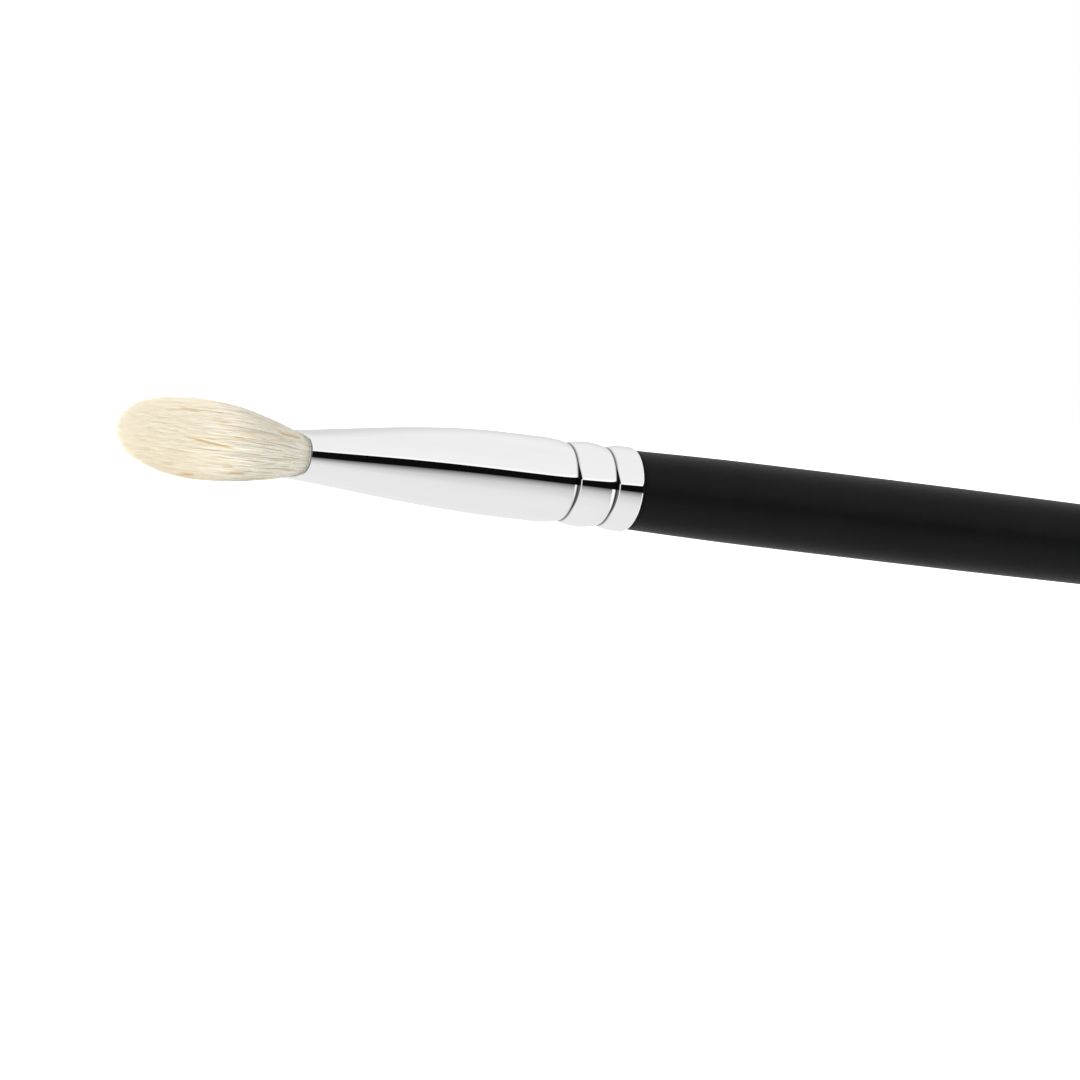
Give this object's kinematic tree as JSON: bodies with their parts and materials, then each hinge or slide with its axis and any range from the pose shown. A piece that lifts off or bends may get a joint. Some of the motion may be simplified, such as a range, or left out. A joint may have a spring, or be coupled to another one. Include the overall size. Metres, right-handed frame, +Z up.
{
  "type": "eyeshadow brush",
  "caption": "Eyeshadow blending brush: soft domed oval head of pale hair in a pinched, twice crimped bright metal ferrule on a slim black lacquered handle.",
  "frame": {"origin": "centre of the object's box in plan, on the surface that the brush lies on", "axes": "+X along the handle's axis from the hair to the tail, +Y across the wide side of the oval head, +Z up"},
  "size_m": [0.173, 0.0119, 0.008],
  "materials": {
    "hair": "soft cream goat hair with a few amber strands",
    "thread": "undyed thread",
    "glue": "set amber glue",
    "ferrule_metal": "polished nickel plate on brass",
    "handle_wood": "turned hardwood",
    "handle_lacquer": "black lacquer, satin gloss"
  },
  "bodies": {
    "root": {"bristle_tuft": "hair", "root_binding": "thread", "glue_plug": "glue", "ferrule": "ferrule_metal", "tenon_glue": "glue", "handle_core": "handle_wood", "handle_lacquer": "handle_lacquer"}
  },
  "joints": []
}
